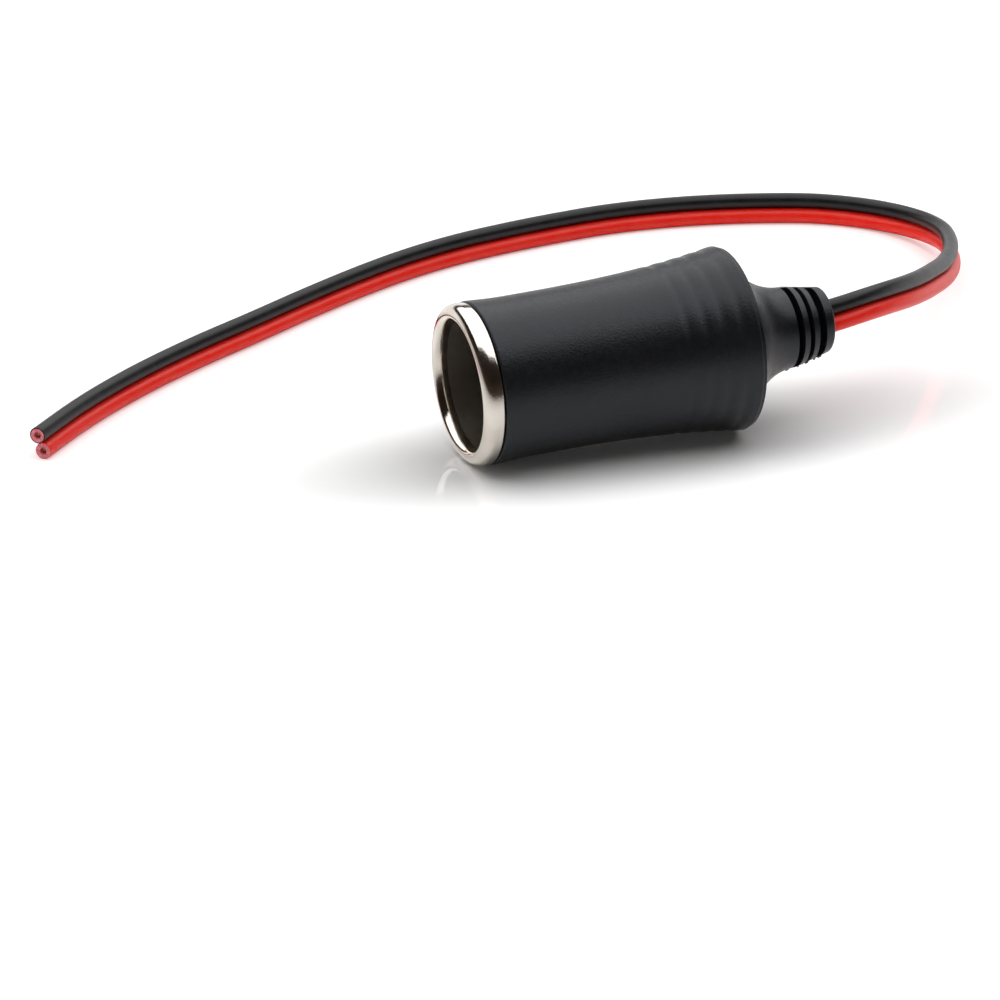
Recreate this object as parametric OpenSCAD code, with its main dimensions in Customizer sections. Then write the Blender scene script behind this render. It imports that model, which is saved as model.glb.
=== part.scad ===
// Car 12 V power socket with a twin lead, lying on its side.
// Each piece is drawn about its own axis, with the mouth at 0 and the tail above it,
// and lie() then lays the whole socket down on its lip and on the rim of its flare.

/* [Barrel] */
// Bore of the barrel, which takes a standard 12 V plug
bore_d = 21; // [20.9:0.1:21.3]
// Thickness of the drawn steel sheet
sheet_t = 0.6; // [0.4:0.1:0.8]
// Depth from the mouth to the face of the insulating disc
bore_depth = 38; // [35:0.5:38.5]
// Outer radius of the roll at the mouth
lip_roll_r = 1.3; // [1.1:0.1:1.5]
// Length of the rolled lip along the barrel
lip_band = 2.7; // [2.6:0.1:3.4]
// Radius of the lip's turned-in rear edge
lip_edge_r = 0.7; // [0.65:0.05:0.8]
// Radius of the hole in the barrel's floor
floor_hole_r = 4.3; // [3.8:0.1:4.8]
// How much smaller the barrel's radius is at the seat of the disc
seat_step = 0.3; // [0.2:0.05:0.4]
// How far that seat reaches in front of the disc
seat_reach = 1.8; // [1.7:0.1:2.4]

/* [Contact] */
// Diameter of the contact's head
contact_d = 5.6; // [5:0.2:7]
// Height of the contact's head above the disc
contact_h = 1.2; // [0.8:0.1:1.6]
// Diameter of the contact's shank
shank_d = 3.2; // [2.8:0.1:3.4]
// Diameter of the shank's riveted tail
rivet_tail_d = 5.2; // [4.6:0.1:5.6]
// Height of the shank's riveted tail
rivet_tail_h = 0.7; // [0.5:0.1:0.9]
// Thickness of the insulating disc
disc_t = 1.5; // [1.2:0.1:1.6]
// Gap all round the insulating disc
disc_gap = 0.15; // [0.1:0.05:0.3]
// Radius of the insulator behind the floor
rear_insulator_r = 6.4; // [6:0.1:6.6]
// Thickness of the insulator behind the floor
rear_insulator_t = 1; // [0.8:0.1:1.2]

/* [Lugs] */
// Thickness of both solder lugs
lug_t = 0.5; // [0.4:0.1:0.6]
// Width of both solder lugs
lug_w = 3; // [2.4:0.2:3.6]
// Distance of the positive lug's tab from the axis
positive_tab_x = 3.4; // [3.2:0.1:3.8]
// Distance of the negative lug's tab from the axis
negative_tab_x = 6.9; // [6.8:0.1:7.1]
// Length of the negative lug's welded foot
negative_foot = 2.4; // [2:0.1:2.4]
// Width of the positive lug's ring round the shank
lug_ring_w = 1.6; // [1.2:0.1:1.8]
// How far the lugs reach behind the barrel's floor
lug_l = 6.9; // [6.4:0.1:6.9]

/* [Boot] */
// Wall of the boot over the barrel, just behind the lip
front_wall = 2.15; // [2:0.05:2.3]
// Wall of the boot over the barrel at its waist
waist_wall = 1.85; // [1.7:0.05:2]
// Distance of the waist from the mouth
waist_s = 10; // [8:1:14]
// Radius of the boot at the rim of its flare
flare_r = 15.05; // [14.8:0.05:15.4]
// Distance of the rim behind the barrel's floor
rim_l = 6.3; // [6.2:0.1:7]
// Radius of the rim's rounded edge
rim_edge_r = 1.2; // [0.9:0.1:1.4]
// Number of grip grooves on the flare
groove_count = 4; // [3:1:5]
// Distance between the grip grooves
groove_pitch = 2.95; // [2.6:0.05:3.2]
// Depth of the grip grooves
groove_depth = 0.35; // [0.2:0.05:0.5]
// Radius of the hollow sweep from the rim to the tail
sweep_r = 8.6; // [8:0.1:9]
// Clearance between moulded pieces and what they hold
mould_gap = 0.1; // [0.05:0.01:0.15]

/* [Tail] */
// Radius of the tail where the sweep ends
tail_r = 6.3; // [6:0.1:6.6]
// Radius of the tail at its free end
tail_end_r = 5.2; // [5:0.1:5.6]
// Length of the tail behind the rim
tail_l = 17.1; // [16.8:0.1:18]
// Length of the tail's slotted end behind the sweep
relief_l = 6.9; // [6.7:0.1:7.2]
// Radius of the tail's rounded end
tail_edge_r = 0.9; // [0.6:0.1:1.1]
// Width of the ring behind the last slot
end_ring_w = 1.6; // [1.4:0.1:2]
// Width of the rings between the slots
ring_w = 1.15; // [0.9:0.05:1.4]
// Width of the last, wider slot
end_slot_w = 1.2; // [0.9:0.1:1.4]
// Width of the other slots
slot_w = 0.75; // [0.6:0.05:0.9]
// Number of slots in the strain relief
slot_count = 3; // [2:1:3]
// Depth of the slots
slot_depth = 1.6; // [1.2:0.1:1.8]
// Width of the web that bridges the slots above
top_web_w = 3.6; // [2.6:0.2:4.4]
// Width of the web that bridges the slots below
bottom_web_w = 2.2; // [1.6:0.2:3]

/* [Lead] */
// Diameter of one insulated wire
wire_d = 2.7; // [2.4:0.1:2.8]
// Diameter of the copper in a wire
copper_d = 1; // [0.8:0.1:1.2]
// Length of the strands shown at a cut end
strand_l = 4; // [3:0.5:6]
// Gap between the two wires
pair_gap = 0.1; // [0.05:0.01:0.15]

/* [Hidden] */

// Smoothness of round pieces, clearance of a seated piece, and how far a cut runs over
fine = 96;
seat = 0.05;
eps = 0.01;
overcut = 1;

// The barrel, with all lengths from the mouth; its floor carries the contact's stack
bore_r = bore_d / 2;
barrel_r = bore_r + sheet_t;
lip_r = bore_r + 2 * lip_roll_r;
seat_r = bore_r - seat_step;
seat_s = bore_depth - seat_reach;
seat_slope = 0.4;
floor_s = bore_depth + disc_t;
shell_back = floor_s + sheet_t;
shank_r = shank_d / 2;
washer_back = shell_back + rear_insulator_t;
positive_back = washer_back + lug_t;
lug_end = shell_back + lug_l;

// The core behind the barrel, and the pocket in it that holds the lugs
core_r = seat_r + mould_gap;
core_nose_r = 6;
core_shoulder_s = lug_end - 1;
core_back = lug_end + 2.5;
pocket_gap = 0.7;
pocket_y = lug_w / 2 + pocket_gap;
pocket_top = negative_tab_x + negative_foot + pocket_gap / 2;
pocket_bottom = positive_tab_x + lug_t + pocket_gap;

// The wires run side by side, black above red, each to a solder joint on its lug
wire_r = wire_d / 2;
wire_side = wire_r + pair_gap / 2;
insulation_s = lug_end - 0.5;
copper_r = copper_d / 2;
copper_straight = 0.5;
solder_r = copper_r + 0.4;
solder_l = 0.9;
joint_s = lug_end - 1.8;
joint_tip_s = joint_s - 2;
strand_set = 0.2;

// The boot outside: its wall over the barrel, the flare, the sweep and the tail
front_r = barrel_r + front_wall;
waist_r = barrel_r + waist_wall;
rim_s = shell_back + rim_l;
tail_s = rim_s + tail_l;
front_edge_r = 0.3;
tuck_gap = 0.4;
flare_power = 2.7;
last_groove_s = rim_s - groove_pitch / 2;
grip_s = last_groove_s - (groove_count - 0.5) * groove_pitch;
grip_steps = 8;
rim_arc_from = 12;
tail_arc_from = 8;
sweep_centre = [tail_r + sweep_r, tail_s - relief_l];
sweep_start = 262;
slot_floor_r = tail_end_r - slot_depth;

// The socket rests on the roll of its lip and on the rim of its flare
lip_rest_x = lip_r - lip_roll_r;
rim_rest_x = flare_r - rim_edge_r;
rest_span = norm([rim_s - lip_roll_r, rim_rest_x - lip_rest_x]);
tilt = atan2(rim_rest_x - lip_rest_x, rim_s - lip_roll_r)
    - asin((lip_roll_r - rim_edge_r) / rest_span);
rest_z = lip_roll_r + lip_rest_x * cos(tilt) - lip_roll_r * sin(tilt);

// Half way between the ends of the socket, which is the model's origin
front_x = lip_roll_r * (cos(tilt) - 1) - lip_rest_x * sin(tilt);
back_x = (tail_s - tail_edge_r) * cos(tilt)
    + (tail_end_r - tail_edge_r) * sin(tilt) + tail_edge_r;
mid_x = (front_x + back_x) / 2;

// Height of the pair's middle where the lead lies on the floor, red wire under black
lying_z = wire_d + pair_gap / 2;

// Middle of the free lead, from just behind the tail round to its cut end
route = [
    [36.2, 0.5, 16.3], [40.8, 2.2, 16.6], [46.2, 5.6, 16.1], [52, 10.5, 14.8],
    [58, 16.8, 13], [64, 24.2, 10.8], [70.2, 32.2, 8.2], [76, 41, 5.9], [80.9, 50, 4],
    [84, 59, 3], [85.2, 67.5, lying_z], [83.9, 75.6, lying_z], [79.6, 82.4, lying_z],
    [72.5, 88, lying_z], [64, 91.8, lying_z], [54, 94.7, lying_z], [44, 96.3, lying_z],
    [34, 96.6, lying_z], [24, 95.5, lying_z], [13, 93.5, lying_z], [2, 90.6, lying_z],
    [-9, 86.2, lying_z], [-20, 80.4, lying_z], [-32, 73.1, lying_z], [-44, 65.3, lying_z],
    [-56, 57.7, lying_z], [-67, 50, lying_z], [-76.5, 42.4, lying_z],
    [-84.5, 35.1, lying_z], [-92.9, 26.4, lying_z]
];
ring_steps = 38;
wire_sides = 8;

module lie() {
    translate([-mid_x, 0, rest_z]) rotate([0, 90 - tilt, 0]) children();
}

function laid(p) = [
    p[2] * cos(tilt) + p[0] * sin(tilt) - mid_x,
    p[1],
    p[2] * sin(tilt) - p[0] * cos(tilt) + rest_z
];

function arc(centre, r, from, to, steps) = [
    for (i = [0 : steps])
        let (a = from + (to - from) * i / steps)
        centre + r * [cos(a), sin(a)]
];

// Nickel-plated steel cup: rolled lip, barrel, a slightly narrower seat for the disc,
// and a floor with a hole for the contact
module socket_shell() {
    color("gainsboro") lie() rotate_extrude($fn = fine) {
        translate([bore_r, lip_roll_r]) square([sheet_t, seat_s - lip_roll_r]);
        polygon([[bore_r, seat_s], [barrel_r, seat_s],
            [seat_r + sheet_t, seat_s + seat_slope], [seat_r, seat_s + seat_slope]]);
        translate([seat_r, seat_s + seat_slope])
            square([sheet_t, floor_s - seat_s - seat_slope]);
        translate([floor_hole_r, floor_s]) square([seat_r - floor_hole_r, sheet_t]);
        translate([seat_r, floor_s]) quarter_round(sheet_t);
        translate([bore_r + lip_roll_r, lip_roll_r]) difference() {
            circle(r = lip_roll_r, $fn = fine);
            circle(r = lip_roll_r - sheet_t, $fn = fine);
            translate([-2 * lip_roll_r, 0]) square([4 * lip_roll_r, 2 * lip_roll_r]);
        }
        translate([lip_r - sheet_t, lip_roll_r])
            square([sheet_t, lip_band - lip_edge_r - lip_roll_r]);
        translate([lip_r - lip_edge_r, lip_band - lip_edge_r]) difference() {
            quarter_round(lip_edge_r);
            circle(r = lip_edge_r - sheet_t, $fn = fine);
        }
    }
}

module quarter_round(r) {
    intersection() {
        circle(r = r, $fn = fine);
        square([r, r]);
    }
}

// Punched disc of amber phenolic sheet on the barrel's floor
module insulating_disc() {
    color("darkgoldenrod") lie() translate([0, 0, bore_depth]) difference() {
        cylinder(r = seat_r - disc_gap, h = disc_t, $fn = fine);
        translate([0, 0, -eps]) cylinder(r = shank_r + seat, h = disc_t + 2 * eps, $fn = fine);
    }
}

// Plated rivet: the flat contact at the front and an upset tail behind the lug
module centre_contact() {
    edge = 0.3;
    color("darkgray") lie() rotate_extrude($fn = fine) polygon(concat(
        [[0, positive_back + rivet_tail_h], [0, bore_depth - contact_h]],
        arc([contact_d / 2 - edge, bore_depth - contact_h + edge], edge, -90, 0, 4),
        [[contact_d / 2, bore_depth], [shank_r, bore_depth], [shank_r, positive_back],
         [rivet_tail_d / 2, positive_back],
         [rivet_tail_d / 2 - 0.7, positive_back + rivet_tail_h]]
    ));
}

// Shouldered insulator that keeps the rivet clear of the barrel's floor
module rear_insulator() {
    color("peru") lie() difference() {
        union() {
            translate([0, 0, shell_back])
                cylinder(r = rear_insulator_r, h = rear_insulator_t, $fn = fine);
            translate([0, 0, floor_s])
                cylinder(r = floor_hole_r - seat, h = sheet_t + eps, $fn = fine);
        }
        translate([0, 0, floor_s - eps])
            cylinder(r = shank_r + seat, h = washer_back - floor_s + 2 * eps, $fn = fine);
    }
}

// Brass lug under the rivet's tail, bent back to a tab for the red wire
module positive_lug() {
    color("goldenrod") lie() {
        translate([0, 0, washer_back]) difference() {
            union() {
                cylinder(r = shank_r + lug_ring_w, h = lug_t, $fn = fine);
                translate([0, -lug_w / 2, 0]) cube([positive_tab_x + lug_t, lug_w, lug_t]);
            }
            translate([0, 0, -eps]) cylinder(r = shank_r + seat, h = lug_t + 2 * eps, $fn = fine);
        }
        translate([positive_tab_x, -lug_w / 2, washer_back])
            cube([lug_t, lug_w, lug_end - washer_back]);
    }
}

// Steel lug spot-welded to the back of the floor, bent back to a tab for the black wire
module negative_lug() {
    color("silver") lie() {
        translate([-negative_tab_x - negative_foot, -lug_w / 2, shell_back])
            cube([negative_foot, lug_w, lug_t]);
        translate([-negative_tab_x - lug_t, -lug_w / 2, shell_back])
            cube([lug_t, lug_w, lug_end - shell_back]);
    }
}

// Outside of the barrel, for the hole that it leaves in what is moulded round it
module barrel_form(gap) {
    translate([0, 0, -eps]) cylinder(r = barrel_r + gap, h = seat_s + 2 * eps, $fn = fine);
    translate([0, 0, seat_s]) cylinder(r1 = barrel_r + gap, r2 = seat_r + sheet_t + gap,
        h = seat_slope, $fn = fine);
    translate([0, 0, seat_s + seat_slope - eps])
        cylinder(r = seat_r + sheet_t + gap, h = shell_back - seat_s - seat_slope + 2 * eps,
            $fn = fine);
}

module core_form(gap) {
    translate([0, 0, shell_back])
        cylinder(r = core_r + gap, h = core_shoulder_s - shell_back, $fn = fine);
    translate([0, 0, core_shoulder_s - eps])
        cylinder(r1 = core_r + gap, r2 = core_nose_r + gap,
            h = core_back + gap - core_shoulder_s + eps, $fn = fine);
}

module wire_bores(from, to) {
    for (side = [-1, 1]) translate([side * wire_side, 0, from])
        cylinder(r = wire_r + mould_gap, h = to - from, $fn = fine);
}

// Stiff inner moulding that holds the lugs and joints apart under the boot
module inner_core() {
    color("ivory") lie() difference() {
        core_form(0);
        translate([0, 0, shell_back - eps])
            cylinder(r = rear_insulator_r + mould_gap,
                h = positive_back + rivet_tail_h + mould_gap - shell_back + eps, $fn = fine);
        translate([-pocket_top, -pocket_y, shell_back - eps])
            cube([pocket_top + pocket_bottom, 2 * pocket_y, lug_end - shell_back + eps]);
        wire_bores(lug_end - eps, core_back + eps);
    }
}

// Radius of the boot between its front and its rim, with the grooves on the flare
function swell(s) = waist_r + (flare_r - waist_r)
    * pow(max(0, (s - waist_s) / (rim_s - waist_s)), flare_power);
function grip_depth(s) = groove_depth * (1 - abs(sin(180 * (s - last_groove_s) / groove_pitch)));

module boot_form() {
    rotate_extrude($fn = fine) polygon(concat(
        [[0, lip_band + seat]],
        arc([front_r - front_edge_r, lip_band + seat + front_edge_r], front_edge_r, -90, 0, 3),
        [for (i = [1 : 8]) let (s = lip_band + (waist_s - lip_band) * i / 8)
            [front_r + (waist_r - front_r) * sin(90 * i / 8), s]],
        [for (i = [1 : 9]) let (s = waist_s + (grip_s - waist_s) * i / 9) [swell(s), s]],
        [for (i = [1 : groove_count * grip_steps])
            let (s = grip_s + (rim_s - grip_s) * i / (groove_count * grip_steps))
            [swell(s) - grip_depth(s), s]],
        arc([rim_rest_x, rim_s], rim_edge_r, rim_arc_from, 90, 5),
        arc(sweep_centre, sweep_r, sweep_start, 180, 10),
        arc([tail_end_r - tail_edge_r, tail_s - tail_edge_r], tail_edge_r, tail_arc_from, 90, 4),
        [[0, tail_s]]
    ));
}

module slot_ring(from, w) {
    reach = tail_r + 2 * overcut;
    translate([0, 0, from]) difference() {
        cylinder(r = tail_r + overcut, h = w, $fn = fine);
        translate([0, 0, -eps]) cylinder(r = slot_floor_r, h = w + 2 * eps, $fn = fine);
        translate([-reach, -top_web_w / 2, -eps]) cube([reach, top_web_w, w + 2 * eps]);
        translate([0, -bottom_web_w / 2, -eps]) cube([reach, bottom_web_w, w + 2 * eps]);
    }
}

// Black vinyl boot moulded over the barrel, with a flare, grip grooves and a slotted tail
module moulded_boot() {
    last_slot_s = tail_s - end_ring_w - end_slot_w;
    color("dimgray") lie() difference() {
        union() {
            boot_form();
            translate([0, 0, lip_roll_r + tuck_gap])
                cylinder(r = lip_r - lip_edge_r - mould_gap, h = lip_band - lip_roll_r, $fn = fine);
        }
        barrel_form(mould_gap);
        core_form(mould_gap);
        wire_bores(core_back, tail_s + eps);
        slot_ring(last_slot_s, end_slot_w);
        for (i = [1 : slot_count - 1])
            slot_ring(last_slot_s - i * (ring_w + slot_w), slot_w);
    }
}

function unit(v) = v / norm(v);
function smooth_step(a, b, c, d, u) = 0.5 * (2 * b + (c - a) * u
    + (2 * a - 5 * b + 4 * c - d) * u * u + (3 * b - a - 3 * c + d) * u * u * u);
function path_at(pts, k) = let (n = len(pts) - 1, i = min(floor(k), n - 1))
    smooth_step(pts[max(i - 1, 0)], pts[i], pts[i + 1], pts[min(i + 2, n)], k - i);

// The pair's middle: straight through the core and the tail, then along the route
exit_point = laid([0, 0, tail_s]);
lead_line = concat([exit_point], route);
lead_path = concat([laid([0, 0, insulation_s])],
    [for (i = [0 : ring_steps]) path_at(lead_line, i * (len(lead_line) - 1) / ring_steps)]);

function heading(pts, i) = unit(pts[min(i + 1, len(pts) - 1)] - pts[max(i - 1, 0)]);
function upright(t) = unit([0, 0, 1] - t[2] * t);
function wire_path(side) = [for (i = [0 : len(lead_path) - 1])
    lead_path[i] + side * wire_side * upright(heading(lead_path, i))];

function wire_ring(c, t, r) = let (n = upright(t), b = cross(t, n), half = 180 / wire_sides)
    [for (k = [0 : wire_sides - 1])
        c + r * (cos(half * (2 * k + 1)) * n + sin(half * (2 * k + 1)) * b)];

module tube(pts, r) {
    last = len(pts) - 1;
    sides = wire_sides;
    points = [for (i = [0 : last]) each wire_ring(pts[i], heading(pts, i), r)];
    walls = [for (i = [0 : last - 1], k = [0 : sides - 1])
        let (a = i * sides + k, b = i * sides + (k + 1) % sides)
        each [[a, a + sides, b + sides], [a, b + sides, b]]];
    ends = [[for (k = [0 : sides - 1]) k],
        [for (k = [sides - 1 : -1 : 0]) last * sides + k]];
    polyhedron(points = points, faces = concat(walls, ends));
}

// Places children at a wire's cut end, pointing out of it
module at_cut_end(side) {
    pts = wire_path(side);
    out = heading(pts, len(pts) - 1);
    translate(pts[len(pts) - 1]) rotate([0, acos(out[2]), atan2(out[1], out[0])]) children();
}

module wire(side) {
    difference() {
        tube(wire_path(side), wire_r);
        at_cut_end(side) translate([0, 0, -strand_l])
            cylinder(r = copper_r + seat, h = strand_l + eps, $fn = 24);
    }
}

// Insulated wires of the twin lead, black to the barrel and red to the contact
module black_wire() {
    color("black") wire(1);
}

module red_wire() {
    color("red") wire(-1);
}

// Seven strands of the copper where a wire is cut off
module strands(side) {
    strand_r = copper_r / 3;
    at_cut_end(side) translate([0, 0, -strand_l]) {
        cylinder(r = strand_r - eps, h = strand_l - strand_set, $fn = 16);
        for (a = [0 : 60 : 300]) rotate([0, 0, a]) translate([2 * strand_r, 0, 0])
            cylinder(r = strand_r - eps, h = strand_l - 1.5 * strand_set, $fn = 16);
    }
}

module black_strands() {
    color("chocolate") strands(1);
}

module red_strands() {
    color("chocolate") strands(-1);
}

// Stripped copper from the end of the insulation to the inner face of a lug's tab
module conductor(side, tab_x) {
    x = side * (tab_x - copper_r - 2 * seat);
    start = side * wire_side;
    tube([laid([start, 0, insulation_s - seat]), laid([start, 0, insulation_s - copper_straight]),
        laid([x, 0, joint_s]), laid([x, 0, joint_tip_s])], copper_r);
}

module black_conductor() {
    color("chocolate") conductor(-1, negative_tab_x);
}

module red_conductor() {
    color("chocolate") conductor(1, positive_tab_x);
}

// Tin round the copper on a lug's tab
module solder(side, tab_x) {
    x = side * (tab_x - copper_r - 2 * seat);
    cut_x = side > 0 ? tab_x - eps : -tab_x - lug_t - overcut;
    translate([0, 0, (joint_s + joint_tip_s - solder_l) / 2]) difference() {
        translate([x, 0, 0]) cylinder(r = solder_r, h = solder_l, $fn = 48);
        translate([x, 0, -overcut])
            cylinder(r = copper_r + eps, h = solder_l + 2 * overcut, $fn = 32);
        translate([cut_x, -lug_w, -overcut])
            cube([lug_t + overcut + eps, 2 * lug_w, solder_l + 2 * overcut]);
    }
}

module black_solder() {
    color("lightgray") lie() solder(-1, negative_tab_x);
}

module red_solder() {
    color("lightgray") lie() solder(1, positive_tab_x);
}

socket_shell();
insulating_disc();
centre_contact();
rear_insulator();
positive_lug();
negative_lug();
inner_core();
moulded_boot();
black_wire();
red_wire();
black_conductor();
red_conductor();
black_solder();
red_solder();
black_strands();
red_strands();
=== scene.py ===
import math

import bmesh
import bpy
from mathutils import Matrix, Vector


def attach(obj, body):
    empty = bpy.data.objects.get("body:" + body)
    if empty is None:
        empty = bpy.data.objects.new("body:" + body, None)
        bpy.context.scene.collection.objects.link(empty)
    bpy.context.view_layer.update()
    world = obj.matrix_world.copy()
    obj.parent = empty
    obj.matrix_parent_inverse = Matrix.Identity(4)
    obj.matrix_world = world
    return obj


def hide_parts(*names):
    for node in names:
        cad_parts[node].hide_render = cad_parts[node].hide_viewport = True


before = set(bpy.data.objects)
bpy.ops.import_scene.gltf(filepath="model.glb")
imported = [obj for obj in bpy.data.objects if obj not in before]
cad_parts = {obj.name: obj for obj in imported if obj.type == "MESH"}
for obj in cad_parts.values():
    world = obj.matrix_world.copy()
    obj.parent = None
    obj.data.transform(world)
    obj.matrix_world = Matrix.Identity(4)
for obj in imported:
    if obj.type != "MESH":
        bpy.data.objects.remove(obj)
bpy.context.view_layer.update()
scene = bpy.context.scene


# The camera looks down at the socket from the side of its mouth, through a long lens.
# The pictures keep plain standard colours.
camera_at = Vector((-0.29687, -0.69578, 0.29121))
camera_yaw = math.radians(21.373)
camera_pitch = math.radians(21.788)


def placed(name, data):
    """A new object that holds this data, linked to the scene."""
    new = bpy.data.objects.new(name, data)
    scene.collection.objects.link(new)
    return new


lens = bpy.data.cameras.new("long_lens")
lens.lens = 180
lens.sensor_width = 36
camera = placed("camera", lens)
camera_looks = Vector((math.sin(camera_yaw) * math.cos(camera_pitch),
                       math.cos(camera_yaw) * math.cos(camera_pitch),
                       -math.sin(camera_pitch)))
camera.matrix_world = (Matrix.Translation(camera_at)
                       @ camera_looks.to_track_quat("-Z", "Y").to_matrix().to_4x4())
scene.camera = camera
scene.view_settings.view_transform = "Standard"


# The lead: two stranded wires in vinyl, black above red, extruded with a thin web of red
# between them and moulded into the boot's tail. They rise a little, fall to the floor, lie
# round the socket and end cut off square. Sizes are in millimetres, here and for each piece.
WIRE_R = 1.35
WIRE_SIDE = 1.4
WIRE_SIDES = 24
WEB = 0.16
WEB_SPREAD = 0.3
CUT_EDGE = 0.05
CUT_RIM_R = 1.16
CUT_PROUD = 0.03
COPPER_HOLE_R = 0.54
COPPER_HOLE_DEPTH = 4.0
BLACK_LONGER = 0.4
STRAND_ROWS = 14
STRAND_SIDES = 12
MIDDLE_LONGER = 1.04
LINE_STEPS = 9
LEAN = 15.0
LEAN_GAIN = 1.6
FLOOR_LINE = 2.71
LEAD_STARTS = (14.898, 0, 15.041)
LEAD_LEAVES = (31.8825, 0, 16.2)
LEAD_ROUTE = [
    (36.2, 0.5, 16.7), (40.8, 2.2, 16.75), (46.2, 5.6, 16.1), (52, 10.5, 14.8),
    (58, 16.8, 13.1), (64, 24.2, 11.2), (70.2, 32.6, 9.1), (75.9, 41.6, 7.4), (80.5, 51, 6),
    (83.6, 60.3, 4.8), (84.3, 69.2, 3.7), (82.4, 77, 3), (78.2, 83.4, FLOOR_LINE),
    (71.8, 88.4, FLOOR_LINE), (64, 91.8, FLOOR_LINE),
    (54, 94.7, FLOOR_LINE), (44, 96.3, FLOOR_LINE), (34, 96.6, FLOOR_LINE),
    (24, 95.5, FLOOR_LINE), (13, 93.5, FLOOR_LINE), (2, 90.6, FLOOR_LINE),
    (-9, 86.2, FLOOR_LINE), (-20, 80.4, FLOOR_LINE), (-32, 73.1, FLOOR_LINE),
    (-44, 65.3, FLOOR_LINE), (-56, 57.7, FLOOR_LINE), (-67, 50, FLOOR_LINE),
    (-76.5, 42.4, FLOOR_LINE), (-84.5, 35.1, FLOOR_LINE), (-93.3, 26, FLOOR_LINE),
]


def linear(hex_colour):
    """The linear colour of an sRGB hex value, with full opacity."""
    parts = [int(hex_colour[i:i + 2], 16) / 255 for i in (1, 3, 5)]
    return [c / 12.92 if c <= 0.04045 else ((c + 0.055) / 1.055) ** 2.4 for c in parts] + [1.0]


def put(tree, kind, links=None, **settings):
    """Adds one node to a tree with its settings; links gives its inputs values or sockets."""
    node = tree.nodes.new(kind)
    for name, value in settings.items():
        setattr(node, name, value)
    for socket, value in (links or {}).items():
        if isinstance(value, bpy.types.NodeSocket):
            tree.links.new(value, node.inputs[socket])
        else:
            node.inputs[socket].default_value = value
    return node


def maths(tree, operation, a, b=0.0, c=0.0):
    """One sum of a tree."""
    return put(tree, "ShaderNodeMath", {0: a, 1: b, 2: c}, operation=operation).outputs[0]


def smooth(mesh, sharp):
    """Turns a mesh's faces outwards and smooths them, but keeps the edges over this angle."""
    shape = bmesh.new()
    shape.from_mesh(mesh)
    bmesh.ops.recalc_face_normals(shape, faces=shape.faces)
    shape.to_mesh(mesh)
    shape.free()
    mesh.shade_smooth()
    mesh.set_sharp_from_angle(angle=math.radians(sharp))


def piece_of(name, vertices, faces, materials, sharp=35, faces_material=None):
    """A smooth mesh piece, made in metres from points in millimetres."""
    mesh = bpy.data.meshes.new(name)
    mesh.from_pydata([[c / 1000 for c in v] for v in vertices], [], faces)
    for material in materials:
        mesh.materials.append(material)
    if faces_material:
        mesh.polygons.foreach_set("material_index", faces_material)
    smooth(mesh, sharp)
    return placed(name, mesh)


def through(points, steps):
    """A smooth line through the points, with so many steps from each to the next."""
    points = [Vector(p) for p in points]
    line = []
    for i in range(len(points) - 1):
        a, b = points[max(i - 1, 0)], points[i]
        c, d = points[i + 1], points[min(i + 2, len(points) - 1)]
        for k in range(steps):
            u = k / steps
            line.append(0.5 * (2 * b + (c - a) * u + (2 * a - 5 * b + 4 * c - d) * u * u
                               + (3 * b - a - 3 * c + d) * u ** 3))
    return line + [points[-1]]


def beside(line, side):
    """The line of one wire of the pair, and its heading and upright at each point.

    The pair leans one way between the boot and its loop, and the other way past the loop."""
    wire = []
    for i, point in enumerate(line):
        along = (line[min(i + 1, len(line) - 1)] - line[max(i - 1, 0)]).normalized()
        up = (Vector((0, 0, 1)) - along * along.z).normalized()
        swing = max(-1.0, min(1.0, -along.x * LEAN_GAIN)) if i else 0.0
        lean = math.radians(LEAN) * swing
        up = math.cos(lean) * up + math.sin(lean) * along.cross(up)
        wire.append((point + up * side, along, up))
    return wire


def ramp(tree, value, stops):
    """A colour by a value: each of two stops is a place from 0 to 1 and an sRGB hex colour."""
    node = put(tree, "ShaderNodeValToRGB", {"Fac": value})
    for element, (place, colour) in zip(node.color_ramp.elements, stops):
        element.position = place
        element.color = linear(colour)
    return node.outputs["Color"]


def noise(tree, vector, scale, detail):
    """A cloudy value from 0 to 1; the scale is in cells a metre."""
    return put(tree, "ShaderNodeTexNoise",
               {"Vector": vector, "Scale": scale, "Detail": detail}).outputs["Fac"]


def stretched(tree, vector, scale):
    """Coordinates scaled along each axis, for marks that are longer one way."""
    return put(tree, "ShaderNodeMapping", {"Vector": vector, "Scale": scale}).outputs["Vector"]


def spread(tree, value, low, high, start=0.0, end=1.0, **settings):
    """A value that goes from start to end, spread from low to high."""
    return put(tree, "ShaderNodeMapRange",
               {"Value": value, "From Min": start, "From Max": end, "To Min": low,
                "To Max": high}, **settings).outputs["Result"]


def relief(tree, height, strength, distance, under=None):
    """A bump so many metres high, laid over another where one is given."""
    links = {"Height": height, "Strength": strength, "Distance": distance}
    if under:
        links["Normal"] = under
    return put(tree, "ShaderNodeBump", links).outputs["Normal"]


def surface(tree, inputs):
    """Ends a material's tree with its surface."""
    shader = put(tree, "ShaderNodeBsdfPrincipled", inputs)
    put(tree, "ShaderNodeOutputMaterial", {"Surface": shader.outputs["BSDF"]})


def new_material(name):
    """An empty material and its node tree."""
    material = bpy.data.materials.new(name)
    material.use_nodes = True
    material.node_tree.nodes.clear()
    return material, material.node_tree


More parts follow.
